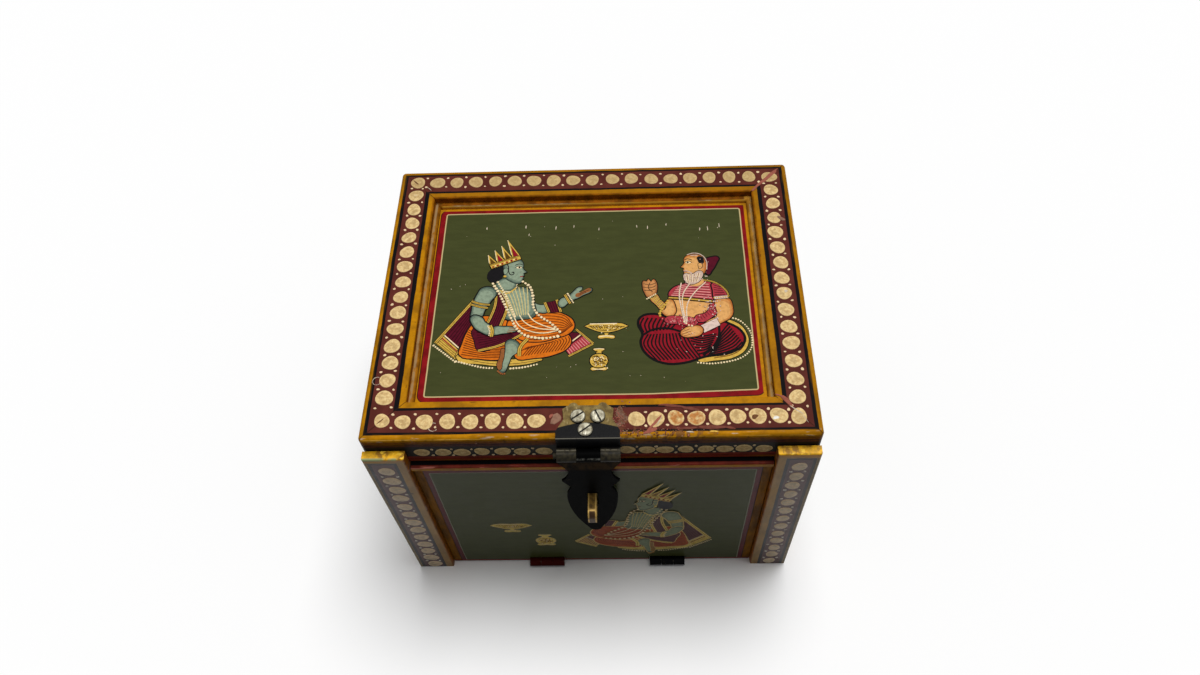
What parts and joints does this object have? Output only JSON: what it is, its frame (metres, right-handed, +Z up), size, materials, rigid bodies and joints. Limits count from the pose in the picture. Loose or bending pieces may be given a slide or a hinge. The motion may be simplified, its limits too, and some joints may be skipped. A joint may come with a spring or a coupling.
{
  "type": "painted trinket box",
  "caption": "Painted wooden box with a framed, sunk-panel lid on rear hinges, a drop front and an iron hasp over a brass staple.",
  "frame": {"origin": "on the table, under the middle of the lid", "axes": "+X to the right seen from the front, +Y to the back, +Z up"},
  "size_m": [0.2, 0.1809, 0.1425],
  "materials": {
    "border_paint": "maroon and ochre painted wood with pale discs, varnished",
    "green_paint": "dark green painted wood with figures, varnished",
    "bare_wood": "oiled softwood",
    "black_iron": "black japanned iron",
    "worn_steel": "worn steel",
    "brass_strip": "rubbed brass"
  },
  "bodies": {
    "carcass": {"bottom_board": "bare_wood", "back_wall": "border_paint", "left_wall": "border_paint", "right_wall": "border_paint", "left_front_stile": "bare_wood", "right_front_stile": "bare_wood", "left_post": "border_paint", "right_post": "border_paint", "post_brads": "worn_steel", "left_lid_hinge_lower_leaf": "black_iron", "right_lid_hinge_lower_leaf": "black_iron", "lid_hinge_lower_screws": "worn_steel", "left_flap_hinge_fixed_leaf": "black_iron", "right_flap_hinge_fixed_leaf": "black_iron", "flap_hinge_fixed_screws": "worn_steel"},
    "lid": {"lid_frame_front": "border_paint", "lid_frame_back": "border_paint", "lid_frame_left": "border_paint", "lid_frame_right": "border_paint", "lid_panel": "green_paint", "lid_cove_front": "border_paint", "lid_cove_back": "border_paint", "lid_cove_left": "border_paint", "lid_cove_right": "border_paint", "lid_rim_front": "border_paint", "lid_rim_back": "border_paint", "lid_rim_left": "border_paint", "lid_rim_right": "border_paint", "left_lid_hinge_upper_leaf": "black_iron", "right_lid_hinge_upper_leaf": "black_iron", "lid_hinge_upper_screws": "worn_steel", "lid_hinge_pins": "worn_steel", "hasp_lid_plate": "black_iron", "hasp_pin": "worn_steel", "hasp_screws": "worn_steel"},
    "hasp_leaf": {"hasp_leaf": "black_iron"},
    "drop_front": {"flap_panel": "green_paint", "flap_top_rail": "border_paint", "staple": "brass_strip", "left_flap_hinge_moving_leaf": "black_iron", "right_flap_hinge_moving_leaf": "black_iron", "flap_hinge_moving_screws": "worn_steel", "flap_hinge_pins": "worn_steel"}
  },
  "joints": [
    {"name": "lid_hinge", "type": "hinge", "parent": "carcass", "child": "lid", "pos_m": [0, 0.08195, 0.12], "axis": [-1, 0, 0], "range_deg": [0, 110]},
    {"name": "hasp_swing", "type": "hinge", "parent": "lid", "child": "hasp_leaf", "pos_m": [-0.0005, -0.0833, 0.131], "axis": [-1, 0, 0], "range_deg": [0, 180]},
    {"name": "front_drop", "type": "hinge", "parent": "carcass", "child": "drop_front", "pos_m": [0, -0.0828, 0.0028], "axis": [1, 0, 0], "range_deg": [0, 82]}
  ]
}
